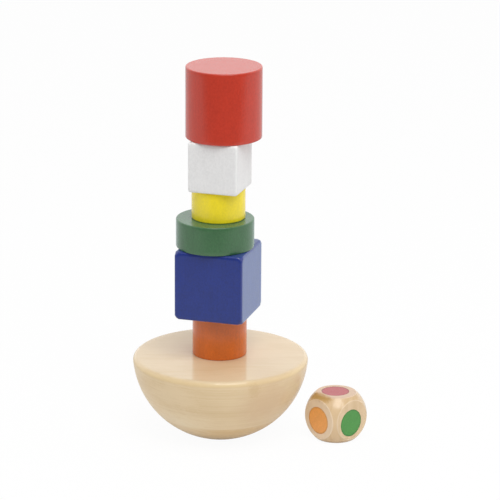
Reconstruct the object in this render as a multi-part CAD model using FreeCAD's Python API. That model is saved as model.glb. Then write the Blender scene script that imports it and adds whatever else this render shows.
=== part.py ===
import FreeCAD, Part
import math
import os

# A wooden stacking balance game, in millimetres, +Z up.
# A half ball with its flat side up carries a tower of six painted blocks, each only
# resting on the one below, and a wooden die with a colour dot on each side stands by it.
# The origin is the centre of the small flat foot that is turned on the half ball's
# underside. The viewer stands on the -Y side.

Vector = FreeCAD.Vector

# Half ball base
BALL_RADIUS = 46.15
BASE_HEIGHT = 43.1
FOOT_RADIUS = 12.5
RIM_ROUND = 2.4
FOOT_ROUND = 0.8

# Round blocks, cut from turned rod: their ends are lightly rounded over
ORANGE_DIAMETER = 28.6
ORANGE_HEIGHT = 23.3
GREEN_DIAMETER = 40.8
GREEN_HEIGHT = 15.1
YELLOW_DIAMETER = 28.1
YELLOW_HEIGHT = 16.2
RED_DIAMETER = 39.7
RED_HEIGHT = 37.5
ROD_END_ROUND = 0.6

# Square blocks: the edges are eased, and the corners are rubbed down a little more
BLUE_SIDE = 36.6
BLUE_EDGE_ROUND = 1.0
BLUE_CORNER_RUB = 1.5
WHITE_SIDE = 26.5
WHITE_EDGE_ROUND = 0.5
WHITE_CORNER_RUB = 0.6

# Where each block's axis stands beside the base's axis, set down by hand
ORANGE_X = -0.5
ORANGE_Y = 3.0
BLUE_X = -1.3
BLUE_Y = -0.3
GREEN_X = -3.0
GREEN_Y = -0.4
YELLOW_X = -1.3
YELLOW_Y = 0.9
WHITE_X = -0.6
WHITE_Y = -1.9
RED_X = 1.3
RED_Y = 1.9

# How far the square blocks and the die are turned about the vertical, in degrees
BLUE_TURN = -17.1
WHITE_TURN = -17.9
DIE_TURN = 41.2

# Colour die: a cube turned down by a ball, which leaves a round flat on each side
DIE_SIDE = 25.0
DIE_BALL_RADIUS = 16.3
DIE_FLAT_ROUND = 0.5
DIE_GAP = 2.7
DIE_BEARING = -6.8

# Paint dots, each in a shallow spot face on one flat of the die
DOT_RADIUS = 7.3
DOT_DEPTH = 0.3
DOT_SUNK = 0.05
RED_DOT_SIDEWAYS = 0.1
RED_DOT_UP = 0.75
ORANGE_DOT_SIDEWAYS = -0.2
ORANGE_DOT_UP = -0.75
GREEN_DOT_SIDEWAYS = -0.9
GREEN_DOT_UP = -1.4


def half_ball():
    """The base: a ball cut flat above and at the foot, with its top rim rounded over."""
    centre_z = math.sqrt(BALL_RADIUS ** 2 - FOOT_RADIUS ** 2)
    top_radius = math.sqrt(BALL_RADIUS ** 2 - (BASE_HEIGHT - centre_z) ** 2)
    foot_angle = math.atan2(-centre_z, FOOT_RADIUS)
    top_angle = math.atan2(BASE_HEIGHT - centre_z, top_radius)
    middle_angle = (foot_angle + top_angle) / 2
    middle = Vector(BALL_RADIUS * math.cos(middle_angle), 0,
                    centre_z + BALL_RADIUS * math.sin(middle_angle))
    foot_centre = Vector(0, 0, 0)
    foot_edge = Vector(FOOT_RADIUS, 0, 0)
    top_edge = Vector(top_radius, 0, BASE_HEIGHT)
    top_centre = Vector(0, 0, BASE_HEIGHT)
    section = Part.Wire([
        Part.LineSegment(foot_centre, foot_edge).toShape(),
        Part.Arc(foot_edge, middle, top_edge).toShape(),
        Part.LineSegment(top_edge, top_centre).toShape(),
        Part.LineSegment(top_centre, foot_centre).toShape(),
    ])
    ball = Part.Face(section).revolve(Vector(0, 0, 0), Vector(0, 0, 1), 360)
    ball = ball.makeFillet(RIM_ROUND, rings_at(ball, BASE_HEIGHT))
    return ball.makeFillet(FOOT_ROUND, rings_at(ball, 0))


def rings_at(shape, height):
    """The round edges that lie level at one height."""
    return [edge for edge in shape.Edges
            if isinstance(edge.Curve, Part.Circle)
            and abs(edge.BoundBox.ZMin - height) < 1e-6
            and abs(edge.BoundBox.ZMax - height) < 1e-6]


def rod_block(diameter, height):
    """A length of round rod on its end, with both end rims rounded over."""
    rod = Part.makeCylinder(diameter / 2, height)
    return rod.makeFillet(ROD_END_ROUND, rings_at(rod, 0) + rings_at(rod, height))


def centred_cube(side):
    """A cube about the origin."""
    half = side / 2
    return Part.makeBox(side, side, side, Vector(-half, -half, -half))


def square_block(side, edge_round, corner_rub):
    """A cube standing at z = 0 whose corners are rubbed off by a ball, then eased all over."""
    corner_distance = side / 2 * math.sqrt(3)
    rubbed = centred_cube(side).common(Part.makeSphere(corner_distance - corner_rub))
    eased = rubbed.makeFillet(edge_round, rubbed.Edges)
    eased.translate(Vector(0, 0, side / 2))
    return eased


def stand(shape, x, y, z, turn=0):
    """Turn a block about the vertical and set it down."""
    shape.rotate(Vector(0, 0, 0), Vector(0, 0, 1), turn)
    shape.translate(Vector(x, y, z))
    return shape


def die_body():
    """The die about the origin: a cube within a ball, its round flats eased at the edge."""
    body = centred_cube(DIE_SIDE).common(Part.makeSphere(DIE_BALL_RADIUS))
    flats = [edge for edge in body.Edges if isinstance(edge.Curve, Part.Circle)]
    return body.makeFillet(DIE_FLAT_ROUND, flats)


def dot_blank(side, sideways, up, start, depth):
    """A disc sunk into one side of the die, from start below the flat down to depth."""
    disc = Part.makeCylinder(DOT_RADIUS, depth - start)
    disc.translate(Vector(sideways, up, DIE_SIDE / 2 - depth))
    turn_to_side = {
        "top": FreeCAD.Rotation(),
        "bottom": FreeCAD.Rotation(Vector(1, 0, 0), 180),
        "left": FreeCAD.Rotation(Vector(0, -1, 0), Vector(0, 0, 1), Vector(-1, 0, 0)),
        "right": FreeCAD.Rotation(Vector(1, 0, 0), Vector(0, 0, 1), Vector(0, -1, 0)),
        "far_left": FreeCAD.Rotation(Vector(-1, 0, 0), Vector(0, 0, 1), Vector(0, 1, 0)),
        "far_right": FreeCAD.Rotation(Vector(0, 1, 0), Vector(0, 0, 1), Vector(1, 0, 0)),
    }[side]
    disc.Placement = FreeCAD.Placement(Vector(0, 0, 0), turn_to_side).multiply(disc.Placement)
    return disc


# Each dot: its colour, the side of the die it is on, and how far off centre it is printed
DOTS = [
    ("red", "top", RED_DOT_SIDEWAYS, RED_DOT_UP),
    ("orange", "left", ORANGE_DOT_SIDEWAYS, ORANGE_DOT_UP),
    ("green", "right", GREEN_DOT_SIDEWAYS, GREEN_DOT_UP),
    ("blue", "far_left", 0, 0),
    ("yellow", "far_right", 0, 0),
    ("white", "bottom", 0, 0),
]


def colour_die():
    """The die with its spot faces, and the six paint dots that lie in them."""
    body = die_body()
    pieces = {}
    for colour, side, sideways, up in DOTS:
        body = body.cut(dot_blank(side, sideways, up, 0, DOT_DEPTH))
        pieces["die_dot_" + colour] = dot_blank(side, sideways, up, DOT_SUNK, DOT_DEPTH)
    pieces["colour_die"] = body
    distance = BALL_RADIUS + DIE_GAP + DIE_SIDE / 2
    bearing = math.radians(DIE_BEARING)
    for shape in pieces.values():
        stand(shape, distance * math.cos(bearing), distance * math.sin(bearing),
              DIE_SIDE / 2, DIE_TURN)
    return pieces


def tower():
    """The six blocks, each set down on the one below it."""
    courses = [
        ("orange_cylinder", rod_block(ORANGE_DIAMETER, ORANGE_HEIGHT),
         ORANGE_X, ORANGE_Y, 0, ORANGE_HEIGHT),
        ("blue_cube", square_block(BLUE_SIDE, BLUE_EDGE_ROUND, BLUE_CORNER_RUB),
         BLUE_X, BLUE_Y, BLUE_TURN, BLUE_SIDE),
        ("green_disc", rod_block(GREEN_DIAMETER, GREEN_HEIGHT),
         GREEN_X, GREEN_Y, 0, GREEN_HEIGHT),
        ("yellow_disc", rod_block(YELLOW_DIAMETER, YELLOW_HEIGHT),
         YELLOW_X, YELLOW_Y, 0, YELLOW_HEIGHT),
        ("white_cube", square_block(WHITE_SIDE, WHITE_EDGE_ROUND, WHITE_CORNER_RUB),
         WHITE_X, WHITE_Y, WHITE_TURN, WHITE_SIDE),
        ("red_cylinder", rod_block(RED_DIAMETER, RED_HEIGHT),
         RED_X, RED_Y, 0, RED_HEIGHT),
    ]
    pieces = {}
    level = BASE_HEIGHT
    for name, block, x, y, turn, height in courses:
        pieces[name] = stand(block, x, y, level, turn)
        level += height
    return pieces


def build():
    """Every piece of the game by its name."""
    pieces = {"rocker_base": half_ball()}
    pieces.update(tower())
    pieces.update(colour_die())
    return pieces


os.makedirs("parts", exist_ok=True)
for node, piece in build().items():
    piece.exportStep("parts/" + node + ".step")
    print(node, len(piece.Solids), piece.isValid(), round(piece.Volume, 1))
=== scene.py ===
"""Stacking balance game: the finished pieces, their wood, lacquer and paint, and the studio."""
import math

import bmesh
import bpy
from bpy.props import FloatProperty, FloatVectorProperty, PointerProperty
from mathutils import Matrix, Vector, noise


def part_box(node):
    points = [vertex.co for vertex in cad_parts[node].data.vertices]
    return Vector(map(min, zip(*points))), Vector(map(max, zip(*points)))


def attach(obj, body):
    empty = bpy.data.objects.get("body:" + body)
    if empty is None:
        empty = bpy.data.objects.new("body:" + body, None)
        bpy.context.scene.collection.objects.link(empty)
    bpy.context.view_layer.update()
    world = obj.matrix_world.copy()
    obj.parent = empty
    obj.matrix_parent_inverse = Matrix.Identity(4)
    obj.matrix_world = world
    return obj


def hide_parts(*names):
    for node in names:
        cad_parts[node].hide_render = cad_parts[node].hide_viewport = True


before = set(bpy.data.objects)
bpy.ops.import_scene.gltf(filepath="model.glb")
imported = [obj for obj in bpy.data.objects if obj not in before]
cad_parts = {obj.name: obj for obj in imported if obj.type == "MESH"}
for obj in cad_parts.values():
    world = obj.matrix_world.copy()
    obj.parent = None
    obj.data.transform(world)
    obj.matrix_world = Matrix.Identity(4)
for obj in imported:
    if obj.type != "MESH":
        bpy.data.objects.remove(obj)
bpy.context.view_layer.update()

bl_info = {
    "name": "Stacking balance game",
    "version": (1, 0, 0),
    "blender": (4, 5, 0),
    "location": "View3D > Sidebar > Balance Game",
    "description": "Half-ball base, six painted blocks and a colour die, with their wood and paint",
    "category": "Add Mesh",
}

MM = 0.001
ROUND_SEGMENTS = 144

# The round blocks: CAD node, colour, and a number that sets its own grain and unevenness
ROUND_BLOCKS = [
    ("orange_cylinder", "orange", 1),
    ("green_disc", "green", 2),
    ("yellow_disc", "yellow", 3),
    ("red_cylinder", "red", 4),
]

# The square blocks: CAD node, colour, turn about the vertical in degrees, number
SQUARE_BLOCKS = [
    ("blue_cube", "blue", -17.1, 5),
    ("white_cube", "white", -17.9, 6),
]

DIE_TURN = 41.2
DOT_COLOURS = ["red", "orange", "green", "blue", "yellow", "white"]

# How each paint lies on the wood: grain that shows through, mottle, roughness, specular level
PAINT_LOOKS = {
    "orange": (0.18, 0.35, 0.20, 0.55),
    "blue": (0.10, 0.70, 0.20, 0.48),
    "green": (0.08, 0.45, 0.20, 0.60),
    "yellow": (0.04, 0.25, 0.20, 0.60),
    "white": (0.03, 0.20, 0.45, 0.30),
    "red": (0.05, 0.35, 0.20, 0.62),
    "dot": (0.08, 0.30, 0.25, 0.50),
}

# The bloom that a paint shows when seen at a slant: its weight and its tint
PAINT_BLOOM = {
    "blue": (0.7, (0.48, 0.68, 1.0)),
    "green": (0.15, (0.3, 0.8, 1.0)),
}

# Paint rubbed thin on a rounded edge, and the painted highlight such an edge catches: its colour, and its
# share where the edge is most rubbed
EDGE_PAINT_WORN_AND_LIT = (0.75, 0.72, 0.66, 1.0)
EDGE_WORN_AND_LIT_SHARE = 0.04

# Marks in the wood and patches of painted light and shade: colour, place and size in millimetres, core,
# rim, strength and raggedness.
# Places run along the grain's own axes, which are -z, y and x for the base, whose grain lies level.
BASE_MARKS = [
    ("wood_mark", (-37.6, -42.1, 17.6), (5.5, 5.0, 3.6), 0.4, 1.1, 0.36, 3.0),
    ("wood_rim", (-41.5, 0, 0), (1.5, 1000, 1000), 0.2, 1.1, 0.5, 1.5),
    # Painted shade: a browner zone near the foot, for the shadowed floor seen in the lacquer
    ("foot_painted_shade", (0, 0, 0), (13, 1000, 1000), 0.9, 1.06, 1.0, 0.6),
    # Painted shade: a browner patch low on the right side, towards the die
    ("right_side_painted_shade", (-29, -35, 23), (17, 20, 18), 0.2, 1.2, 0.7, 1.5),
    # Painted light: a paler patch low on the left side
    ("left_side_painted_light", (-12, -34, -22), (15, 24, 20), 0.1, 1.2, 0.5, 1.5),
]
DIE_MARKS = [
    ("die_top", (0, 0, 12.5), (24, 24, 0.4), 0.4, 1.1, 1.0, 0.5),
    # Painted light: paler wood on the front-left flat, for light the base throws on it
    ("die_flat_painted_light", (-12.5, 0, 0), (0.4, 24, 24), 0.4, 1.1, 0.65, 0.5),
    # Grain and painted shade: a brown band along the top-left edge, darker where that edge faces away from
    # the light
    ("die_band_and_shade", (-10.4, 2.5, 11.9), (3.7, 12.0, 3.5), 0.4, 1.1, 0.74, 1.5),
]

# How much lacquer shines on the base's flat top, and round its side
TOP_LACQUER = 0.93
SIDE_LACQUER = 0.35

# The pale ring where a flat's edge is eased: how far out it starts and is full, then where the
# flat starts and is full, all in millimetres from the die's middle, and the ring's strength
RING_START, RING_FULL = 12.0, 12.35
FLAT_START, FLAT_FULL = 12.44, 12.49
RING_ON_FLAT = 0.3
RING_STRENGTH = 0.45


def length_property(name, description, millimetres):
    """A size that a user may change, given here in millimetres and kept in metres."""
    return FloatProperty(name=name, description=description, default=millimetres * MM,
                         min=0.0, precision=5, unit="LENGTH", subtype="DISTANCE")


def colour_property(name, description, colour):
    """A colour that a user may change, as linear red, green and blue."""
    return FloatVectorProperty(name=name, description=description, default=colour,
                               size=3, min=0.0, max=1.0, subtype="COLOR")


def angle_property(name, description, degrees):
    """An angle that a user may change, given here in degrees and kept in radians."""
    return FloatProperty(name=name, description=description, default=math.radians(degrees),
                         unit="ROTATION", subtype="ANGLE")


class BalanceGameSizes(bpy.types.PropertyGroup):
    """How the pieces are rounded and rubbed. Their main sizes come from the CAD nodes in model.glb."""

    ball_radius: length_property("Ball radius", "Radius of the ball that the base is half of", 46.15)
    foot_radius: length_property("Foot radius", "Radius of the flat turned under the base", 12.5)
    rim_round: length_property("Rim round", "Rounding of the base's top rim", 2.4)
    end_round: length_property("Rod end round", "Rounding at both ends of a round block", 0.6)
    blue_edge: length_property("Blue edge round", "Rounding of the blue cube's edges", 1.0)
    blue_rub: length_property("Blue corner rub", "How far the blue cube's corners are rubbed down", 1.5)
    white_edge: length_property("White edge round", "Rounding of the white cube's edges", 1.05)
    white_rub: length_property("White corner rub", "How far the white cube's corners are rubbed down", 1.0)
    unevenness: length_property("Unevenness", "How far hand sanding leaves a face off true", 0.03)
    dot_wander: length_property("Dot edge wander", "How far a dot's edge strays from its circle", 0.08)


class BalanceGameColours(bpy.types.PropertyGroup):
    """The paints, the wood under the clear lacquer, and the dots on the die."""

    wood_pale: colour_property("Pale wood", "Early wood of the base", (0.778, 0.610, 0.388))
    wood_dark: colour_property("Dark wood", "Late wood of the base", (0.658, 0.478, 0.258))
    wood_mark: colour_property("Wood mark", "Yellow-brown mark in the base's side", (0.600, 0.410, 0.170))
    wood_rim: colour_property("Rim wood", "Yellower wood round the base's top rim", (0.750, 0.560, 0.285))
    # Painted shade: browner wood near the foot, for the shadowed floor seen in the lacquer
    foot_painted_shade: colour_property("Foot wood", "Browner zone near the base's foot", (0.690, 0.490, 0.255))
    # Painted shade low on the base's right side, towards the die
    right_side_painted_shade: colour_property("Warm wood", "Browner wood in the base's right side", (0.670, 0.466, 0.280))
    # Painted light low on the base's left side
    left_side_painted_light: colour_property("Light wood", "Paler wood low on the base's left", (0.840, 0.720, 0.520))
    die_pale: colour_property("Pale die wood", "Early wood of the die", (0.715, 0.515, 0.300))
    die_dark: colour_property("Dark die wood", "Late wood of the die", (0.560, 0.360, 0.155))
    # Brown band of grain and painted shade along the die's top-left edge
    die_band_and_shade: colour_property("Die mark", "Brown band in the die", (0.430, 0.235, 0.040))
    die_top: colour_property("Die top", "Browner wood in the die's top side", (0.617, 0.389, 0.225))
    # Painted light on the die's front-left flat, for light the base throws on it
    die_flat_painted_light: colour_property("Die flat", "Paler wood on the die's front left", (0.860, 0.690, 0.510))
    die_edge: colour_property("Die edge", "Paler ring at each flat's eased edge", (0.900, 0.740, 0.560))
    orange: colour_property("Orange", "Paint of the lowest block", (0.665, 0.139, 0.012))
    blue: colour_property("Blue", "Paint of the large cube", (0.006, 0.024, 0.205))
    green: colour_property("Green", "Paint of the wide disc", (0.042, 0.135, 0.051))
    yellow: colour_property("Yellow", "Paint of the narrow disc", (0.950, 0.760, 0.013))
    white: colour_property("White", "Paint of the small cube", (0.805, 0.800, 0.795))
    red: colour_property("Red", "Paint of the top block", (0.530, 0.034, 0.012))
    dot_red: colour_property("Red dot", "Dot on the die's top", (0.465, 0.062, 0.074))
    dot_orange: colour_property("Orange dot", "Dot on the die's front left side", (0.880, 0.385, 0.095))
    dot_green: colour_property("Green dot", "Dot on the die's front right side", (0.065, 0.285, 0.050))
    dot_blue: colour_property("Blue dot", "Dot on the die's back left side", (0.020, 0.050, 0.250))
    dot_yellow: colour_property("Yellow dot", "Dot on the die's back right side", (0.820, 0.600, 0.030))
    dot_white: colour_property("White dot", "Dot under the die", (0.820, 0.815, 0.800))


class BalanceGameStudio(bpy.types.PropertyGroup):
    """Where the camera stands, and how brightly the surroundings light the game."""

    camera_back: length_property("Camera distance", "How far the camera stands before the base", 1461.7)
    camera_height: length_property("Camera height", "Height of the camera over the floor", 541.6)
    camera_lens: FloatProperty(name="Lens", description="Focal length on a 36 mm wide sensor",
                               default=211.08, unit="CAMERA")
    camera_pitch: angle_property("Pitch", "How far the camera looks down", 16.795)
    camera_yaw: angle_property("Yaw", "How far the camera is turned to the right", 0.5945)
    camera_roll: angle_property("Roll", "How far the camera is rolled", 0.36)
    paper_front: length_property("Paper edge", "Where the white paper ends in front of the game", 360)
    key_power: FloatProperty(name="Key light", description="Power of the soft light above the front",
                             default=10.4, min=0.0, unit="POWER")
    side_power: FloatProperty(name="Side light", description="Power of the soft light on the right",
                              default=1.15, min=0.0, unit="POWER")


def add_node(tree, kind, column, row, **settings):
    """A shader node placed by column and row, with its settings."""
    node = tree.nodes.new(kind)
    node.location = (column * 200, -row * 180)
    for name, value in settings.items():
        setattr(node, name, value)
    return node


def link(tree, source, output, target, socket):
    """Joins one node's output to another's input, each by its name or number."""
    tree.links.new(source.outputs[output], target.inputs[socket])


def calculate(tree, operation, column, row, first, second=None, third=None):
    """A Math node. Each value is a number, or a (node, output) pair."""
    node = add_node(tree, "ShaderNodeMath", column, row, operation=operation)
    for index, value in enumerate((first, second, third)):
        if isinstance(value, tuple):
            link(tree, value[0], value[1], node, index)
        elif value is not None:
            node.inputs[index].default_value = value
    return node


def map_range(tree, column, row, value, low, high, to_low=0.0, to_high=1.0, smooth=True):
    """A clamped Map Range node from low..high to to_low..to_high."""
    node = add_node(tree, "ShaderNodeMapRange", column, row, clamp=True,
                    interpolation_type="SMOOTHSTEP" if smooth else "LINEAR")
    link(tree, value[0], value[1], node, "Value")
    for socket, number in zip(("From Min", "From Max", "To Min", "To Max"), (low, high, to_low, to_high)):
        node.inputs[socket].default_value = number
    return node


def mix_colours(tree, column, row, share, first, second):
    """Two colours mixed by share. Each is a (node, output) pair, or red, green, blue and alpha."""
    node = add_node(tree, "ShaderNodeMix", column, row, data_type="RGBA", clamp_factor=True)
    link(tree, share, 0, node, 0)
    for socket, colour in ((6, first), (7, second)):
        if len(colour) == 2:
            link(tree, colour[0], colour[1], node, socket)
        else:
            node.inputs[socket].default_value = colour
    return node


def position_in_mm(group, start, row):
    """A group's position, in millimetres."""
    in_mm = add_node(group, "ShaderNodeVectorMath", -1, row, operation="SCALE")
    link(group, start, "Position", in_mm, 0)
    in_mm.inputs["Scale"].default_value = 1 / MM
    return in_mm


def stretched_noise(tree, column, row, position, scale, detail, roughness=0.5):
    """Noise over a position that is first scaled by three numbers for each millimetre."""
    stretch = add_node(tree, "ShaderNodeVectorMath", column, row, operation="MULTIPLY")
    link(tree, position[0], position[1], stretch, 0)
    stretch.inputs[1].default_value = scale
    grain = add_node(tree, "ShaderNodeTexNoise", column + 1, row)
    link(tree, stretch, "Vector", grain, "Vector")
    grain.inputs["Scale"].default_value = 1.0
    grain.inputs["Detail"].default_value = detail
    grain.inputs["Roughness"].default_value = roughness
    return grain


def new_group(name, inputs, outputs):
    """An empty node group with named inputs and outputs, and its two end nodes."""
    group = bpy.data.node_groups.new(name, "ShaderNodeTree")
    kinds = {"value": "NodeSocketFloat", "vector": "NodeSocketVector", "colour": "NodeSocketColor"}
    for socket_name, kind, default in inputs:
        socket = group.interface.new_socket(socket_name, in_out="INPUT", socket_type=kinds[kind])
        if default is not None:
            socket.default_value = default
    for socket_name, kind in outputs:
        group.interface.new_socket(socket_name, in_out="OUTPUT", socket_type=kinds[kind])
    return group, add_node(group, "NodeGroupInput", -2, 0), add_node(group, "NodeGroupOutput", 10, 0)


def wood_grain_group():
    """Growth rings, fibres and flecks of solid wood whose grain runs along Z, in millimetres."""
    group, start, end = new_group(
        "Wood grain",
        [("Position", "vector", None), ("Ring spacing", "value", 2.4), ("Pith", "vector", (0, 0, 0)),
         ("Waviness", "value", 3.0)],
        [("Rings", "value"), ("Fibres", "value"), ("Flecks", "value")])
    in_mm = position_in_mm(group, start, 0)
    bend = stretched_noise(group, 0, 1, (in_mm, 0), (0.03, 0.03, 0.012), 2)
    push = add_node(group, "ShaderNodeVectorMath", 2, 1, operation="SUBTRACT")
    link(group, bend, "Color", push, 0)
    push.inputs[1].default_value = (0.5, 0.5, 0.5)
    push_far = add_node(group, "ShaderNodeVectorMath", 3, 1, operation="SCALE")
    link(group, push, 0, push_far, 0)
    link(group, start, "Waviness", push_far, "Scale")
    from_pith = add_node(group, "ShaderNodeVectorMath", 3, 0, operation="SUBTRACT")
    link(group, in_mm, 0, from_pith, 0)
    link(group, start, "Pith", from_pith, 1)
    wavy = add_node(group, "ShaderNodeVectorMath", 4, 0, operation="ADD")
    link(group, from_pith, 0, wavy, 0)
    link(group, push_far, 0, wavy, 1)
    across = add_node(group, "ShaderNodeVectorMath", 5, 0, operation="MULTIPLY")
    link(group, wavy, 0, across, 0)
    across.inputs[1].default_value = (1, 1, 0)
    radius = add_node(group, "ShaderNodeVectorMath", 6, 0, operation="LENGTH")
    link(group, across, 0, radius, 0)
    good_years = add_node(group, "ShaderNodeTexNoise", 7, 1, noise_dimensions="1D")
    link(group, radius, "Value", good_years, "W")
    good_years.inputs["Scale"].default_value = 0.21
    good_years.inputs["Detail"].default_value = 1.0
    grown = calculate(group, "MULTIPLY_ADD", 8, 1, (good_years, "Fac"), 7.0, (radius, "Value"))
    year = calculate(group, "DIVIDE", 7, 0, (grown, 0))
    link(group, start, "Ring spacing", year, 1)
    part = calculate(group, "FRACT", 8, 0, (year, 0))
    late_rise = map_range(group, 9, 0, (part, 0), 0.35, 0.9)
    late_end = map_range(group, 9, 1, (part, 0), 0.93, 1.0, 1.0, 0.0)
    year_number = calculate(group, "FLOOR", 8, 2, (year, 0))
    year_look = add_node(group, "ShaderNodeTexWhiteNoise", 9, 3, noise_dimensions="1D")
    link(group, year_number, 0, year_look, "W")
    year_strength = map_range(group, 10, 3, (year_look, "Value"), 0, 1, 0.25, 1.0, smooth=False)
    rings = calculate(group, "MULTIPLY", 9, 2, (late_rise, 0), (late_end, 0))
    rings = calculate(group, "MULTIPLY", 10, 2, (rings, 0), (year_strength, 0))
    fine = stretched_noise(group, 0, 3, (in_mm, 0), (2.2, 2.2, 0.07), 4, 0.6)
    streaks = stretched_noise(group, 0, 4, (in_mm, 0), (0.5, 0.5, 0.018), 3, 0.6)
    fibres = add_node(group, "ShaderNodeMix", 3, 3, data_type="FLOAT")
    fibres.inputs[0].default_value = 0.5
    link(group, fine, "Fac", fibres, 2)
    link(group, streaks, "Fac", fibres, 3)
    flecks = stretched_noise(group, 0, 5, (in_mm, 0), (2.6, 1.3, 0.35), 1)
    fleck_mask = map_range(group, 3, 5, (flecks, "Fac"), 0.66, 0.76)
    link(group, rings, 0, end, "Rings")
    link(group, fibres, 0, end, "Fibres")
    link(group, fleck_mask, 0, end, "Flecks")
    return group


def lacquered_wood_group():
    """Colour, roughness and relief of clear-lacquered wood, turned about the position's X axis."""
    group, start, end = new_group(
        "Lacquered wood",
        [("Position", "vector", None), ("Pale", "colour", (0.7, 0.5, 0.3, 1)),
         ("Dark", "colour", (0.5, 0.3, 0.15, 1)), ("Rings", "value", 0.0), ("Fibres", "value", 0.5),
         ("Flecks", "value", 0.0), ("Ring contrast", "value", 0.5), ("Fibre contrast", "value", 0.5),
         ("Turning", "value", 0.0)],
        [("Color", "colour"), ("Roughness", "value"), ("Height", "value")])
    in_mm = position_in_mm(group, start, 1)
    clouds = stretched_noise(group, 0, 1, (in_mm, 0), (0.11, 0.06, 0.03), 3)
    cloud_share = map_range(group, 2, 1, (clouds, "Fac"), 0.3, 0.7, -0.2, 0.2)
    ring_share = calculate(group, "MULTIPLY", 1, 0, (start, "Rings"), (start, "Ring contrast"))
    fibre_centred = calculate(group, "SUBTRACT", 1, 2, (start, "Fibres"), 0.5)
    fibre_share = calculate(group, "MULTIPLY", 2, 2, (fibre_centred, 0), (start, "Fibre contrast"))
    fleck_share = calculate(group, "MULTIPLY", 2, 3, (start, "Flecks"), 0.22)
    lathe = stretched_noise(group, 0, 4, (in_mm, 0), (0.9, 0.0, 0.0), 3, 0.6)
    lathe_centred = calculate(group, "SUBTRACT", 2, 4, (lathe, "Fac"), 0.5)
    lathe_share = calculate(group, "MULTIPLY", 3, 4, (lathe_centred, 0), (start, "Turning"))
    total = calculate(group, "ADD", 3, 0, (ring_share, 0), (cloud_share, 0))
    total = calculate(group, "ADD", 4, 0, (total, 0), (fibre_share, 0))
    total = calculate(group, "ADD", 5, 0, (total, 0), (fleck_share, 0))
    total = calculate(group, "ADD", 4, 1, (total, 0), (lathe_share, 0))
    shade = calculate(group, "ADD", 5, 1, (total, 0), 0.12)
    mix = mix_colours(group, 6, 0, shade, (start, "Pale"), (start, "Dark"))
    rough = map_range(group, 6, 2, (start, "Fibres"), 0.3, 0.7, 0.42, 0.55)
    height = calculate(group, "SUBTRACT", 6, 3, (start, "Fibres"), (fleck_share, 0))
    height = calculate(group, "MULTIPLY_ADD", 7, 3, (lathe_share, 0), 2.0, (height, 0))
    link(group, mix, 2, end, "Color")
    link(group, rough, 0, end, "Roughness")
    link(group, height, 0, end, "Height")
    return group


def wood_mark_and_light_group():
    """One oval patch laid over the wood's colour, ragged along its fibres. It lays marks in the wood and
    patches of painted light and shade.

    It is full out to Core and gone at Rim, as shares of its size.
    """
    group, start, end = new_group(
        "Wood mark",
        [("Position", "vector", None), ("Fibres", "value", 0.5), ("Color", "colour", (0.7, 0.5, 0.3, 1)),
         ("Mark", "colour", (0.5, 0.3, 0.15, 1)), ("Place", "vector", (0, 0, 0)),
         ("Size", "vector", (1, 1, 1)), ("Core", "value", 0.4), ("Rim", "value", 1.1),
         ("Strength", "value", 0.5), ("Raggedness", "value", 2.0)],
        [("Color", "colour"), ("Mask", "value")])
    in_mm = position_in_mm(group, start, 1)
    from_mark = add_node(group, "ShaderNodeVectorMath", 0, 1, operation="SUBTRACT")
    link(group, in_mm, 0, from_mark, 0)
    link(group, start, "Place", from_mark, 1)
    in_mark = add_node(group, "ShaderNodeVectorMath", 1, 1, operation="DIVIDE")
    link(group, from_mark, 0, in_mark, 0)
    link(group, start, "Size", in_mark, 1)
    reach = add_node(group, "ShaderNodeVectorMath", 2, 1, operation="LENGTH")
    link(group, in_mark, 0, reach, 0)
    fibre_centred = calculate(group, "SUBTRACT", 1, 2, (start, "Fibres"), 0.5)
    ragged = calculate(group, "MULTIPLY", 2, 2, (fibre_centred, 0), (start, "Raggedness"))
    ragged = calculate(group, "ADD", 3, 1, (ragged, 0), (reach, "Value"))
    mask = map_range(group, 4, 1, (ragged, 0), 0.0, 1.0, 1.0, 0.0)
    link(group, start, "Core", mask, "From Min")
    link(group, start, "Rim", mask, "From Max")
    share = calculate(group, "MULTIPLY", 5, 1, (mask, 0), (start, "Strength"))
    marked = mix_colours(group, 6, 0, share, (start, "Color"), (start, "Mark"))
    link(group, marked, 2, end, "Color")
    link(group, share, 0, end, "Mask")
    return group


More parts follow.
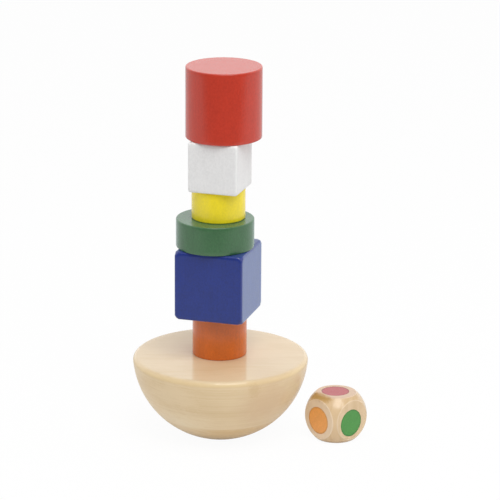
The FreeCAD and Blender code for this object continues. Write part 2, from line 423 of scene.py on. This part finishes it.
def paint_group():
    """Colour, roughness and relief of gloss paint through which the wood below shows a little, paler on
    rounded edges where it is rubbed thin and gets a painted highlight.
    """
    group, start, end = new_group(
        "Paint over wood",
        [("Position", "vector", None), ("Paint", "colour", (0.5, 0.5, 0.5, 1)), ("Rings", "value", 0.0),
         ("Fibres", "value", 0.5), ("Show through", "value", 0.1), ("Mottle", "value", 0.1),
         ("Edge rub", "value", 0.0), ("Gloss", "value", 0.2)],
        [("Color", "colour"), ("Roughness", "value"), ("Height", "value")])
    in_mm = position_in_mm(group, start, 1)
    patches = stretched_noise(group, 0, 1, (in_mm, 0), (0.16, 0.16, 0.1), 3)
    speckle = stretched_noise(group, 0, 2, (in_mm, 0), (1.1, 1.1, 0.8), 2)
    patch_centred = calculate(group, "SUBTRACT", 2, 1, (patches, "Fac"), 0.5)
    speckle_centred = calculate(group, "SUBTRACT", 2, 2, (speckle, "Fac"), 0.5)
    patch_share = calculate(group, "MULTIPLY", 3, 0, (patch_centred, 0), 0.45)
    mottle = calculate(group, "MULTIPLY_ADD", 3, 1, (speckle_centred, 0), 0.9, (patch_share, 0))
    mottle_share = calculate(group, "MULTIPLY", 4, 1, (mottle, 0), (start, "Mottle"))
    fibre_centred = calculate(group, "SUBTRACT", 2, 3, (start, "Fibres"), 0.5)
    wood = calculate(group, "MULTIPLY_ADD", 3, 3, (start, "Rings"), -0.5, (fibre_centred, 0))
    wood_share = calculate(group, "MULTIPLY", 4, 3, (wood, 0), (start, "Show through"))
    level = calculate(group, "ADD", 5, 1, (mottle_share, 0), (wood_share, 0))
    # Rounded edges are lighter: paint rubbed thin, and a painted highlight
    rub_highlight_lift = calculate(group, "MULTIPLY", 5, 3, (start, "Edge rub"), 0.1)
    level = calculate(group, "ADD", 6, 1, (level, 0), (rub_highlight_lift, 0))
    level = calculate(group, "ADD", 7, 1, (level, 0), 1.0)
    tint = add_node(group, "ShaderNodeVectorMath", 8, 0, operation="SCALE")
    link(group, start, "Paint", tint, 0)
    link(group, level, 0, tint, "Scale")
    rub_highlight_share = calculate(group, "MULTIPLY", 8, 2, (start, "Edge rub"), EDGE_WORN_AND_LIT_SHARE)
    rubbed_highlit_paint = mix_colours(group, 9, 0, rub_highlight_share, (tint, 0), EDGE_PAINT_WORN_AND_LIT)
    rough = calculate(group, "MULTIPLY_ADD", 6, 4, (speckle_centred, 0), 0.12, (start, "Gloss"))
    height = calculate(group, "MULTIPLY_ADD", 6, 5, (speckle, "Fac"), 0.7, (start, "Fibres"))
    link(group, rubbed_highlit_paint, 2, end, "Color")
    link(group, rough, 0, end, "Roughness")
    link(group, height, 0, end, "Height")
    return group


def start_material(name, centre, rotation):
    """A new material, its node tree and shader, and the position from centre, turned by rotation."""
    material = bpy.data.materials.new(name)
    material.use_nodes = True
    tree = material.node_tree
    shader = tree.nodes["Principled BSDF"]
    shader.location = (1400, 0)
    tree.nodes["Material Output"].location = (1700, 0)
    place = add_node(tree, "ShaderNodeTexCoord", -1, 0)
    mapping = add_node(tree, "ShaderNodeMapping", 0, 0, vector_type="TEXTURE")
    mapping.inputs["Location"].default_value = centre
    mapping.inputs["Rotation"].default_value = rotation
    link(tree, place, "Object", mapping, "Vector")
    return material, tree, shader, mapping


def use_group(tree, group, column, row, values=()):
    """Places a node group and sets its values."""
    node = add_node(tree, "ShaderNodeGroup", column, row, node_tree=group)
    for name, value in dict(values).items():
        node.inputs[name].default_value = value
    return node


def use_relief(tree, shader, source, strength, depth):
    """Feeds a group's Height through a Bump node to the shader."""
    bump = add_node(tree, "ShaderNodeBump", 5, 3)
    bump.inputs["Strength"].default_value = strength
    bump.inputs["Distance"].default_value = depth
    link(tree, source, "Height", bump, "Height")
    link(tree, bump, "Normal", shader, "Normal")


def rgba(colour):
    """A colour with full alpha."""
    return (*colour, 1.0)


def mark_values(colours, marks):
    """The values of the mark group for each line of a table of marks and painted patches."""
    return [{"Mark": rgba(getattr(colours, colour)), "Place": place, "Size": size, "Core": core,
             "Rim": rim, "Strength": strength, "Raggedness": raggedness}
            for colour, place, size, core, rim, strength, raggedness in marks]


def lacquered_wood(name, centre, rotation, coat_roughness, grain_values, wood_values, marks):
    """Clear-lacquered natural wood, from the values of its groups, with a list of marks and patches of
    painted light and shade laid over it.
    """
    material, tree, shader, mapping = start_material(name, centre, rotation)
    grain = use_group(tree, bpy.data.node_groups["Wood grain"], 1, 0, grain_values)
    wood = use_group(tree, bpy.data.node_groups["Lacquered wood"], 3, 0, wood_values)
    link(tree, mapping, "Vector", grain, "Position")
    link(tree, mapping, "Vector", wood, "Position")
    for output in ("Rings", "Fibres", "Flecks"):
        link(tree, grain, output, wood, output)
    coloured = wood
    for number, values in enumerate(marks):
        mark = use_group(tree, bpy.data.node_groups["Wood mark"], 4 + number, 1, values)
        link(tree, mapping, "Vector", mark, "Position")
        link(tree, grain, "Fibres", mark, "Fibres")
        link(tree, coloured, "Color", mark, "Color")
        coloured = mark
    link(tree, coloured, "Color", shader, "Base Color")
    link(tree, wood, "Roughness", shader, "Roughness")
    use_relief(tree, shader, wood, 0.25, 0.00008)
    shader.inputs["Specular IOR Level"].default_value = 0.15
    shader.inputs["Coat Weight"].default_value = 1.0
    shader.inputs["Coat Roughness"].default_value = coat_roughness
    shader.inputs["Coat IOR"].default_value = 1.5
    return material, tree, shader, mapping


def painted_wood(name, centre, rotation, paint, number, look):
    """Gloss paint on wood whose grain runs along the turned Z."""
    material, tree, shader, mapping = start_material(name, centre, rotation)
    show_through, mottle, gloss, specular = PAINT_LOOKS[look]
    pith = (9.0 + 3.1 * number, 14.0 - 4.7 * number, 0.0)
    grain = use_group(tree, bpy.data.node_groups["Wood grain"], 1, 0,
                      {"Ring spacing": 2.0 + 0.1 * number, "Pith": pith, "Waviness": 4.0})
    coat = use_group(tree, bpy.data.node_groups["Paint over wood"], 3, 0,
                     {"Paint": rgba(paint), "Show through": show_through, "Mottle": mottle, "Gloss": gloss})
    # How far each point is on a rounded edge, where the paint is paled for rubbing and for a painted
    # highlight
    rubbed = add_node(tree, "ShaderNodeAttribute", 1, 2, attribute_name="edge_rub")
    link(tree, mapping, "Vector", grain, "Position")
    link(tree, mapping, "Vector", coat, "Position")
    link(tree, grain, "Rings", coat, "Rings")
    link(tree, grain, "Fibres", coat, "Fibres")
    link(tree, rubbed, "Fac", coat, "Edge rub")
    link(tree, coat, "Color", shader, "Base Color")
    link(tree, coat, "Roughness", shader, "Roughness")
    use_relief(tree, shader, coat, 0.5, 0.00012)
    shader.inputs["Specular IOR Level"].default_value = specular
    weight, tint = PAINT_BLOOM.get(look, (0.0, (1.0, 1.0, 1.0)))
    shader.inputs["Sheen Weight"].default_value = weight
    shader.inputs["Sheen Roughness"].default_value = 0.35
    shader.inputs["Sheen Tint"].default_value = rgba(tint)
    return material


def hand_finish(bm, depth, patch, number):
    """Leaves every face a hair off true, always inwards, as sanding by hand does."""
    bm.normal_update()
    shift = Vector((number * 3.7, number * 1.9, number * 5.3))
    for vert in bm.verts:
        share = 0.5 + 0.5 * noise.noise(vert.co / patch + shift)
        vert.co -= vert.normal * depth * share


def mark_rubbed_and_highlit_edges(bm, flatness):
    """Keeps in edge_rub how far each point is on a rounded edge, where the paint is thinner and gets a
    painted highlight.
    """
    bm.normal_update()
    rub = bm.verts.layers.float.new("edge_rub")
    least = math.sqrt(0.5)
    for vert in bm.verts:
        vert[rub] = min(1.0, max(0.0, (1.0 - flatness(vert.normal)) / (1.0 - least)))


def centre_of(node):
    """Middle of a CAD node's box, and its size along each axis."""
    low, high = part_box(node)
    return (low + high) / 2, high - low


def finish_piece(name, bm, place, material, node):
    """Moves a mesh to its place, where its CAD node stands, and lets it stand for that node."""
    bm.transform(place)
    bmesh.ops.recalc_face_normals(bm, faces=bm.faces[:])
    mesh = bpy.data.meshes.new(name)
    bm.to_mesh(mesh)
    bm.free()
    mesh.shade_smooth()
    mesh.set_sharp_from_angle(angle=math.radians(35))
    mesh.materials.append(material)
    piece = bpy.data.objects.new(name, mesh)
    bpy.context.scene.collection.objects.link(piece)
    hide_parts(node)
    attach(piece, "root")
    return piece


def ring_the_caps(bm, widths):
    """Insets each many-sided end face by these widths, then closes it to its middle."""
    caps = [face for face in bm.faces if len(face.verts) > 4]
    for width in widths:
        bmesh.ops.inset_region(bm, faces=caps, thickness=width, use_even_offset=True)
    bmesh.ops.poke(bm, faces=caps)


def rod_block(radius, height, end_round):
    """A length of rod about the origin, its ends rounded over and its faces divided."""
    bm = bmesh.new()
    bmesh.ops.create_cone(bm, cap_ends=True, segments=ROUND_SEGMENTS, radius1=radius,
                          radius2=radius, depth=height)
    rims = [edge for edge in bm.edges if edge.calc_face_angle() > math.radians(60)]
    bmesh.ops.bevel(bm, geom=rims, offset=end_round, offset_type="OFFSET", segments=5, profile=0.5,
                    affect="EDGES", material=-1)
    uprights = [edge for edge in bm.edges
                if abs(edge.verts[0].co.z - edge.verts[1].co.z) > height / 2]
    bmesh.ops.subdivide_edges(bm, edges=uprights, cuts=max(4, round(height / (2 * MM))), use_grid_fill=True)
    flat = radius - end_round
    ring_the_caps(bm, [0.25 * MM] + [flat / 9] * 8)
    return bm


def cube_block(side, edge_round, corner_rub):
    """A cube about the origin with eased edges and corners that are rubbed down by a ball."""
    bm = bmesh.new()
    bmesh.ops.create_cube(bm, size=side)
    bmesh.ops.bevel(bm, geom=bm.edges[:], offset=edge_round, offset_type="OFFSET", segments=4,
                    profile=0.5, affect="EDGES", material=-1)
    long_edges = [edge for edge in bm.edges if edge.calc_length() > side / 2]
    bmesh.ops.subdivide_edges(bm, edges=long_edges, cuts=30, use_grid_fill=True)
    reach = side / 2 * math.sqrt(3) - corner_rub
    rubbed = [vert for vert in bm.verts if vert.co.length > reach]
    for vert in rubbed:
        vert.co *= reach / vert.co.length
    for _ in range(2):
        bmesh.ops.smooth_vert(bm, verts=rubbed, factor=0.5,
                              use_axis_x=True, use_axis_y=True, use_axis_z=True)
    return bm


def half_ball(sizes, height):
    """The base on its foot: a ball's arc, then the rim's, swept as one profile and spun round."""
    ball, foot, rim = sizes.ball_radius, sizes.foot_radius, sizes.rim_round
    centre_z = math.sqrt(ball ** 2 - foot ** 2)
    rim_z = height - rim
    rim_angle = math.asin((rim_z - centre_z) / (ball - rim))
    rim_x = (ball - rim) * math.cos(rim_angle)
    foot_angle = math.atan2(-centre_z, foot)
    bm = bmesh.new()
    foot_edge = bm.verts.new((foot, 0, 0))
    swept = bmesh.ops.spin(bm, geom=[foot_edge], cent=(0, 0, centre_z), axis=(0, -1, 0),
                           angle=rim_angle - foot_angle, steps=56)
    rim_start = [item for item in swept["geom_last"] if isinstance(item, bmesh.types.BMVert)]
    swept = bmesh.ops.spin(bm, geom=rim_start, cent=(rim_x, 0, rim_z), axis=(0, -1, 0),
                           angle=math.pi / 2 - rim_angle, steps=12)
    top_edge = [item for item in swept["geom_last"] if isinstance(item, bmesh.types.BMVert)][0]
    flats = [
        bm.edges.new((top_edge, bm.verts.new((0, 0, height)))),
        bm.edges.new((foot_edge, bm.verts.new((0, 0, 0)))),
    ]
    bmesh.ops.subdivide_edges(bm, edges=flats, cuts=14)
    bmesh.ops.spin(bm, geom=bm.verts[:] + bm.edges[:], cent=(0, 0, 0), axis=(0, 0, 1),
                   angle=math.tau, steps=ROUND_SEGMENTS, use_merge=True)
    bmesh.ops.remove_doubles(bm, verts=bm.verts[:], dist=1e-7)
    return bm


def paint_dot(radius, thickness, wander, number):
    """A thin disc of paint about the origin, facing +Z, whose edge strays a little inwards."""
    bm = bmesh.new()
    bmesh.ops.create_cone(bm, cap_ends=True, segments=96, radius1=radius, radius2=radius, depth=thickness)
    rim = [edge for edge in bm.edges
           if edge.calc_face_angle() > math.radians(60) and edge.verts[0].co.z > 0]
    bmesh.ops.bevel(bm, geom=rim, offset=thickness / 3, offset_type="OFFSET", segments=3, profile=0.5,
                    affect="EDGES", material=-1)
    ring_the_caps(bm, [0.1 * MM] + [radius / 8] * 7)
    rub = bm.verts.layers.float.new("edge_rub")
    for vert in bm.verts:
        # In a dot the same layer is negative on its outer tenth, which darkens the dot's rim
        vert[rub] = -2.4 if vert.co.xy.length > 0.9 * radius else 0.0
        around = vert.co.xy.normalized() if vert.co.xy.length > 0 else vert.co.xy
        stray = wander * (0.5 + 0.5 * noise.noise(Vector((around.x * 2.5, around.y * 2.5, number * 3.3))))
        vert.co.xy -= around * stray * vert.co.xy.length / radius
    return bm


def round_flatness(normal):
    """1 on an end or on the side of a rod, and less on the round between them."""
    return max(abs(normal.z), math.hypot(normal.x, normal.y))


def cube_flatness(normal):
    """1 on a side of a cube, and less on its edges and corners."""
    return max(abs(normal.x), abs(normal.y), abs(normal.z))


def die_axes():
    """The die's six outward directions as it stands."""
    turn = Matrix.Rotation(math.radians(DIE_TURN), 3, "Z")
    return [turn @ Vector(way) * sign
            for way in ((1, 0, 0), (0, 1, 0), (0, 0, 1)) for sign in (1, -1)]


class BALANCEGAME_OT_node_groups(bpy.types.Operator):
    """Build the wood grain, lacquer and paint that the materials share"""

    bl_idname = "balance_game.node_groups"
    bl_label = "Wood and Paint Groups"

    def execute(self, context):
        wood_grain_group()
        lacquered_wood_group()
        wood_mark_and_light_group()
        paint_group()
        return {"FINISHED"}


class BALANCEGAME_OT_base(bpy.types.Operator):
    """Turn the half-ball base from one piece of natural wood"""

    bl_idname = "balance_game.base"
    bl_label = "Half-Ball Base"

    def execute(self, context):
        sizes = context.scene.balance_game_sizes
        colours = context.scene.balance_game_colours
        low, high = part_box("rocker_base")
        bm = half_ball(sizes, high.z - low.z)
        hand_finish(bm, sizes.unevenness, 9 * MM, 7)
        material, tree, shader, mapping = lacquered_wood(
            "Lacquered base wood", (0, 0, 0), (0, math.pi / 2, 0), 0.1,
            {"Ring spacing": 2.6, "Pith": (150, 22, 0), "Waviness": 9.0},
            {"Pale": rgba(colours.wood_pale), "Dark": rgba(colours.wood_dark), "Ring contrast": 0.14,
             "Fibre contrast": 0.9, "Turning": 1.4},
            mark_values(colours, BASE_MARKS))
        axes = add_node(tree, "ShaderNodeSeparateXYZ", 1, 5)
        link(tree, mapping, "Vector", axes, 0)
        below_rim = high.z - sizes.rim_round
        coat = map_range(tree, 2, 5, (axes, "X"), -high.z, -below_rim, TOP_LACQUER, SIDE_LACQUER)
        link(tree, coat, 0, shader, "Coat Weight")
        finish_piece("base_half_ball", bm, Matrix.Identity(4), material, "rocker_base")
        return {"FINISHED"}


class BALANCEGAME_OT_round_blocks(bpy.types.Operator):
    """Cut the four round blocks from rod and paint them"""

    bl_idname = "balance_game.round_blocks"
    bl_label = "Round Blocks"

    def execute(self, context):
        sizes = context.scene.balance_game_sizes
        colours = context.scene.balance_game_colours
        for node, colour, number in ROUND_BLOCKS:
            centre, size = centre_of(node)
            bm = rod_block(size.x / 2, size.z, sizes.end_round)
            mark_rubbed_and_highlit_edges(bm, round_flatness)
            hand_finish(bm, sizes.unevenness, 7 * MM, number)
            material = painted_wood(colour.capitalize() + " paint", centre, (0, 0, 0.9 * number),
                                    getattr(colours, colour), number, colour)
            finish_piece(colour + "_round_block", bm, Matrix.Translation(centre), material, node)
        return {"FINISHED"}


class BALANCEGAME_OT_square_blocks(bpy.types.Operator):
    """Saw the two cubes, ease their edges and paint them"""

    bl_idname = "balance_game.square_blocks"
    bl_label = "Square Blocks"

    def execute(self, context):
        sizes = context.scene.balance_game_sizes
        colours = context.scene.balance_game_colours
        for node, colour, turn, number in SQUARE_BLOCKS:
            centre, size = centre_of(node)
            bm = cube_block(size.z, getattr(sizes, colour + "_edge"), getattr(sizes, colour + "_rub"))
            mark_rubbed_and_highlit_edges(bm, cube_flatness)
            hand_finish(bm, sizes.unevenness, 8 * MM, number)
            place = Matrix.Translation(centre) @ Matrix.Rotation(math.radians(turn), 4, "Z")
            material = painted_wood(colour.capitalize() + " paint", centre, (0, 0, math.radians(turn)),
                                    getattr(colours, colour), number, colour)
            finish_piece(colour + "_square_block", bm, place, material, node)
        return {"FINISHED"}


class BALANCEGAME_OT_die(bpy.types.Operator):
    """Give the die, whose solid is already right, its lacquered wood"""

    bl_idname = "balance_game.die"
    bl_label = "Colour Die"

    def execute(self, context):
        colours = context.scene.balance_game_colours
        centre, _ = centre_of("colour_die")
        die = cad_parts["colour_die"]
        material, tree, shader, mapping = lacquered_wood(
            "Lacquered die wood", centre, (0, 0, math.radians(DIE_TURN)), 0.2,
            {"Ring spacing": 3.4, "Pith": (-19, 13, 0), "Waviness": 3.0},
            {"Pale": rgba(colours.die_pale), "Dark": rgba(colours.die_dark), "Ring contrast": 0.35,
             "Fibre contrast": 0.7},
            mark_values(colours, DIE_MARKS))
        self.pale_flat_edges(tree, shader, mapping, colours.die_edge)
        die.data.materials.clear()
        die.data.materials.append(material)
        return {"FINISHED"}

    def pale_flat_edges(self, tree, shader, mapping, pale):
        """Lightens the ring just outside each flat, where the edge is eased.

        The ring and the gloss both fade on the die's last mark, the brown band of grain and painted shade.
        """
        whole = add_node(tree, "ShaderNodeVectorMath", 1, 6, operation="ABSOLUTE")
        link(tree, mapping, "Vector", whole, 0)
        axes = add_node(tree, "ShaderNodeSeparateXYZ", 2, 6)
        link(tree, whole, "Vector", axes, 0)
        farthest = calculate(tree, "MAXIMUM", 3, 6, (axes, "X"), (axes, "Y"))
        farthest = calculate(tree, "MAXIMUM", 4, 6, (farthest, 0), (axes, "Z"))
        nearing = map_range(tree, 5, 6, (farthest, 0), RING_START * MM, RING_FULL * MM)
        past = map_range(tree, 5, 7, (farthest, 0), FLAT_START * MM, FLAT_FULL * MM, 1.0, RING_ON_FLAT)
        ring = calculate(tree, "MULTIPLY", 6, 6, (nearing, 0), (past, 0))
        ring = calculate(tree, "MULTIPLY", 7, 6, (ring, 0), RING_STRENGTH)
        before = shader.inputs["Base Color"].links[0].from_node
        # The band of grain and painted shade loses its lacquer, so it shines less
        lacquer_left = calculate(tree, "MULTIPLY_ADD", 6, 2, (before, "Mask"), -1.0, 1.0)
        link(tree, lacquer_left, 0, shader, "Coat Weight")
        ring = calculate(tree, "MULTIPLY", 7, 5, (ring, 0), (lacquer_left, 0))
        paler = mix_colours(tree, 8, 1, ring, (before, "Color"), rgba(pale))
        link(tree, paler, 2, shader, "Base Color")


class BALANCEGAME_OT_dots(bpy.types.Operator):
    """Print the six paint dots on the die"""

    bl_idname = "balance_game.dots"
    bl_label = "Paint Dots"

    def execute(self, context):
        sizes = context.scene.balance_game_sizes
        colours = context.scene.balance_game_colours
        die_centre, _ = centre_of("colour_die")
        _, top_dot = centre_of("die_dot_red")
        for number, colour in enumerate(DOT_COLOURS):
            node = "die_dot_" + colour
            centre, _ = centre_of(node)
            outward = max(die_axes(), key=(centre - die_centre).dot)
            turn = outward.to_track_quat("Z", "Y").to_matrix().to_4x4()
            bm = paint_dot(top_dot.x / 2, top_dot.z, sizes.dot_wander, number)
            material = painted_wood(colour.capitalize() + " dot paint", centre, turn.to_euler(),
                                    getattr(colours, "dot_" + colour), number + 8, "dot")
            finish_piece("dot_" + colour + "_paint", bm, Matrix.Translation(centre) @ turn, material, node)
        return {"FINISHED"}


def white_paper_material(paper_front):
    """White paper that ends in front of the game, and is plain white to the camera and in gloss."""
    material = bpy.data.materials.new("White paper")
    material.use_nodes = True
    tree = material.node_tree
    tree.nodes.clear()
    place = add_node(tree, "ShaderNodeTexCoord", -1, 1)
    axes = add_node(tree, "ShaderNodeSeparateXYZ", 0, 1)
    link(tree, place, "Object", axes, 0)
    on_paper = map_range(tree, 1, 1, (axes, "Y"), -paper_front - 0.02, -paper_front + 0.02)
    level = map_range(tree, 2, 1, (on_paper, 0), 0, 1, 0.3, 1.0, smooth=False)
    shade = map_range(tree, 2, 0, (on_paper, 0), 0, 1, 0.3, 0.9, smooth=False)
    path = add_node(tree, "ShaderNodeLightPath", 0, 3)
    shown_level = add_node(tree, "ShaderNodeMix", 3, 1, data_type="FLOAT")
    link(tree, path, "Is Camera Ray", shown_level, 0)
    link(tree, level, 0, shown_level, 2)
    shown_level.inputs[3].default_value = 1.0
    glow = add_node(tree, "ShaderNodeEmission", 4, 1)
    link(tree, shown_level, 0, glow, "Strength")
    paper = add_node(tree, "ShaderNodeBsdfDiffuse", 4, 0)
    link(tree, shade, 0, paper, "Color")
    reflected = calculate(tree, "MULTIPLY", 1, 4, (path, "Is Glossy Ray"), 0.45)
    sees = calculate(tree, "ADD", 1, 3, (path, "Is Camera Ray"), (reflected, 0))
    sees = calculate(tree, "ADD", 2, 3, (sees, 0), (path, "Is Transmission Ray"))
    glow_share = map_range(tree, 2, 2, (on_paper, 0), 0, 1, 1.0, 0.95, smooth=False)
    share = calculate(tree, "MULTIPLY", 3, 3, (sees, 0), (glow_share, 0))
    mix = add_node(tree, "ShaderNodeMixShader", 5, 0)
    link(tree, share, 0, mix, 0)
    link(tree, paper, 0, mix, 1)
    link(tree, glow, 0, mix, 2)
    output = add_node(tree, "ShaderNodeOutputMaterial", 6, 0)
    link(tree, mix, 0, output, "Surface")
    return material


def studio_world():
    """Bright wall behind, pale panel on the left, dim room in front and overhead.

    To the camera it is plain white.
    """
    world = bpy.data.worlds.new("Studio")
    world.use_nodes = True
    tree = world.node_tree
    background = tree.nodes["Background"]
    background.location = (1200, 0)
    direction = add_node(tree, "ShaderNodeTexCoord", -1, 0)
    axes = add_node(tree, "ShaderNodeSeparateXYZ", 0, 0)
    link(tree, direction, "Generated", axes, 0)
    # The wall is brightest low down, and fades towards the front
    wall_low = map_range(tree, 0, 1, (axes, "Z"), 0.2, 0.36, 1.3, 1.02)
    wall = map_range(tree, 1, 0, (axes, "Y"), -0.5, 0.5, 0.4, 1.3)
    link(tree, wall_low, 0, wall, "To Max")
    # The panel fills only the far left
    panel = map_range(tree, 1, 2, (axes, "X"), -0.78, -0.66, 0.7, 0.0)
    wall = calculate(tree, "MAXIMUM", 2, 1, (wall, 0), (panel, 0))
    upward = map_range(tree, 1, 1, (axes, "Z"), 0.45, 0.9)
    room = add_node(tree, "ShaderNodeMix", 2, 0, data_type="FLOAT")
    link(tree, upward, 0, room, 0)
    link(tree, wall, 0, room, 2)
    room.inputs[3].default_value = 0.55
    path = add_node(tree, "ShaderNodeLightPath", 2, 2)
    seen = add_node(tree, "ShaderNodeMix", 4, 0, data_type="FLOAT")
    link(tree, path, "Is Camera Ray", seen, 0)
    link(tree, room, 0, seen, 2)
    seen.inputs[3].default_value = 1.0
    link(tree, seen, 0, background, "Strength")
    background.inputs["Color"].default_value = (1, 1, 1, 1)
    return world


def soft_light(name, azimuth, elevation, distance, size, power, target):
    """A square soft light that faces target. Azimuth 0 is in front, and 90 is on the right."""
    a, e = math.radians(azimuth), math.radians(elevation)
    away = Vector((math.sin(a) * math.cos(e), -math.cos(a) * math.cos(e), math.sin(e)))
    lamp = bpy.data.lights.new(name, "AREA")
    lamp.shape = "SQUARE"
    lamp.size = size
    lamp.energy = power
    holder = bpy.data.objects.new(name, lamp)
    facing = away.to_track_quat("Z", "Y").to_matrix().to_4x4()
    holder.matrix_world = Matrix.Translation(target + away * distance) @ facing
    holder.visible_camera = False
    bpy.context.scene.collection.objects.link(holder)
    return holder


class BALANCEGAME_OT_stage(bpy.types.Operator):
    """Lay the white paper, light it and set up the camera"""

    bl_idname = "balance_game.stage"
    bl_label = "Stage"

    def execute(self, context):
        scene = context.scene
        studio = scene.balance_game_studio
        bm = bmesh.new()
        bmesh.ops.create_grid(bm, x_segments=1, y_segments=1, size=4.0)
        mesh = bpy.data.meshes.new("paper_floor")
        bm.to_mesh(mesh)
        bm.free()
        mesh.materials.append(white_paper_material(studio.paper_front))
        floor = bpy.data.objects.new("paper_floor", mesh)
        scene.collection.objects.link(floor)
        scene.world = studio_world()
        middle = Vector((0, 0, 0.08))
        soft_light("Key light", 15, 57, 1.3, 0.85, studio.key_power, middle)
        soft_light("Side light", 80, 28, 1.5, 0.8, studio.side_power, middle)
        camera = bpy.data.cameras.new("Camera")
        camera.lens = studio.camera_lens
        camera.sensor_width = 36
        camera.clip_start = 0.01
        holder = bpy.data.objects.new("Camera", camera)
        holder.matrix_world = (
            Matrix.Translation((0, -studio.camera_back, studio.camera_height))
            @ Matrix.Rotation(-studio.camera_yaw, 4, "Z")
            @ Matrix.Rotation(math.pi / 2 - studio.camera_pitch, 4, "X")
            @ Matrix.Rotation(studio.camera_roll, 4, "Z"))
        scene.collection.objects.link(holder)
        scene.camera = holder
        scene.view_settings.view_transform = "Standard"
        return {"FINISHED"}


OPERATORS = (
    BALANCEGAME_OT_node_groups,
    BALANCEGAME_OT_base,
    BALANCEGAME_OT_round_blocks,
    BALANCEGAME_OT_square_blocks,
    BALANCEGAME_OT_die,
    BALANCEGAME_OT_dots,
    BALANCEGAME_OT_stage,
)


class BALANCEGAME_PT_panel(bpy.types.Panel):
    """The pieces of the game, in the order they are made"""

    bl_label = "Stacking Balance Game"
    bl_space_type = "VIEW_3D"
    bl_region_type = "UI"
    bl_category = "Balance Game"

    def draw(self, context):
        layout = self.layout
        for operator in OPERATORS:
            layout.operator(operator.bl_idname)
        for settings in (context.scene.balance_game_sizes, context.scene.balance_game_colours,
                         context.scene.balance_game_studio):
            box = layout.box()
            for name in settings.__annotations__:
                box.prop(settings, name)


CLASSES = (BalanceGameSizes, BalanceGameColours, BalanceGameStudio, *OPERATORS, BALANCEGAME_PT_panel)


def register():
    """Registers the classes and gives the scene its settings."""
    for cls in CLASSES:
        bpy.utils.register_class(cls)
    bpy.types.Scene.balance_game_sizes = PointerProperty(type=BalanceGameSizes)
    bpy.types.Scene.balance_game_colours = PointerProperty(type=BalanceGameColours)
    bpy.types.Scene.balance_game_studio = PointerProperty(type=BalanceGameStudio)


def unregister():
    """Takes the settings and classes away again."""
    del bpy.types.Scene.balance_game_studio
    del bpy.types.Scene.balance_game_colours
    del bpy.types.Scene.balance_game_sizes
    for cls in reversed(CLASSES):
        bpy.utils.unregister_class(cls)


def main():
    """Makes every piece and the stage."""
    register()
    bpy.ops.balance_game.node_groups()
    bpy.ops.balance_game.base()
    bpy.ops.balance_game.round_blocks()
    bpy.ops.balance_game.square_blocks()
    bpy.ops.balance_game.die()
    bpy.ops.balance_game.dots()
    bpy.ops.balance_game.stage()


if __name__ == "__main__":
    main()
